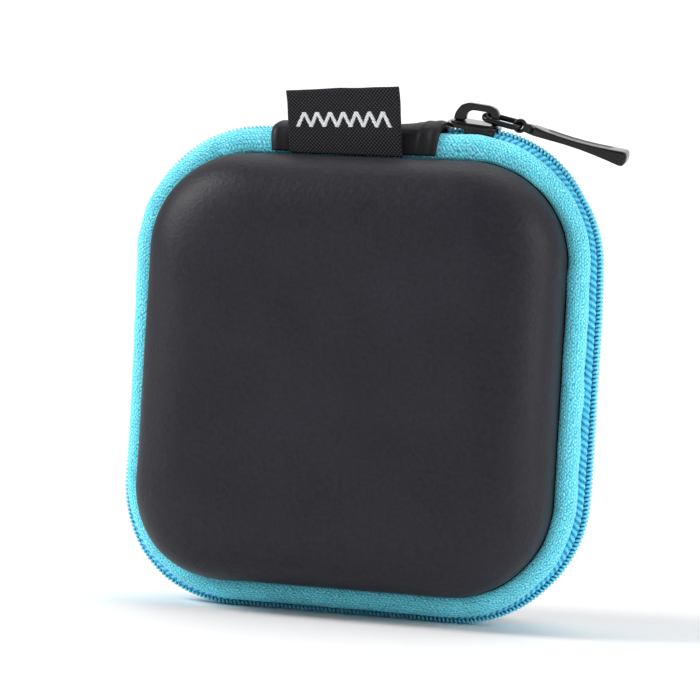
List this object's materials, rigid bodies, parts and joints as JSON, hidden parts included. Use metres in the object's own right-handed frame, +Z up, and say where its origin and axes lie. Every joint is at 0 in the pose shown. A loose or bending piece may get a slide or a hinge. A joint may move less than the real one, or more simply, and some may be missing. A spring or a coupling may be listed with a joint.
{
  "type": "zippered hard-shell earphone case",
  "caption": "Small square hard-shell case for earphones: two crowned halves joined by a fabric hinge, closed by a coil zipper with a metal slider and pull.",
  "frame": {"origin": "middle of the bounding box's bottom face, on the surface that the closed case stands on; the case's own middle is 1.85 mm to the left of it, because the pull overhangs on the right", "axes": "+Z up, from the zipper's lowest crest to the hinge; +Y from the front half to the rear half; +X to the right as seen from the front, towards the slider's side"},
  "size_m": [0.0837, 0.0356, 0.0886],
  "materials": {
    "leatherette": "fine-grained polyurethane leatherette, near black, semi-matt",
    "eva_foam": "moulded closed-cell foam, matt",
    "lining": "brushed knit lining, matt",
    "binding": "coarse woven polyester tape, bright cyan",
    "zipper_tape": "woven polyester tape, deep cyan",
    "zipper_coil": "ribbed nylon coil, satin",
    "label": "woven twill, matt",
    "mesh": "open knitted mesh",
    "elastic": "ribbed elastic",
    "gunmetal": "gloss black-nickel plating"
  },
  "bodies": {
    "base": {"rear_skin": "leatherette", "rear_hinge_cover": "leatherette", "rear_foam_shell": "eva_foam", "rear_lining": "lining", "rear_hinge_lining": "lining", "rear_binding": "binding", "rear_zipper_tape": "zipper_tape", "rear_zipper_coil": "zipper_coil"},
    "lid": {"front_skin": "leatherette", "front_hinge_cover": "leatherette", "front_foam_shell": "eva_foam", "front_lining": "lining", "front_hinge_lining": "lining", "front_binding": "binding", "front_zipper_tape": "zipper_tape", "front_zipper_coil": "zipper_coil", "label": "label", "mesh_pocket": "mesh", "pocket_elastic": "elastic"},
    "slider": {"slider_body": "gunmetal", "slider_bridge": "gunmetal"},
    "pull_link": {"pull_link": "gunmetal"},
    "pull_tab": {"pull_tab": "gunmetal"}
  },
  "joints": [
    {"name": "lid_open", "type": "hinge", "parent": "base", "child": "lid", "pos_m": [-0.00185, 0, 0.0833], "axis": [-1, 0, 0], "range_deg": [0, 175], "deforming": ["front_zipper_coil"]},
    {"name": "slider_travel", "type": "hinge", "parent": "base", "child": "slider", "pos_m": [0.01665, 0, 0.0605], "axis": [0, 1, 0], "range_deg": [0, 70]},
    {"name": "link_swing", "type": "hinge", "parent": "slider", "child": "pull_link", "pos_m": [0.01731, 0, 0.08495], "axis": [0, -1, 0], "range_deg": [0, 115]},
    {"name": "tab_swing", "type": "hinge", "parent": "pull_link", "child": "pull_tab", "pos_m": [0.02335, 0, 0.08356], "axis": [0, -1, 0], "range_deg": [-2, 75]}
  ],
  "couplings": [
    {"joint": "slider_travel", "follows": "lid_open", "ratio": 0.4}
  ]
}
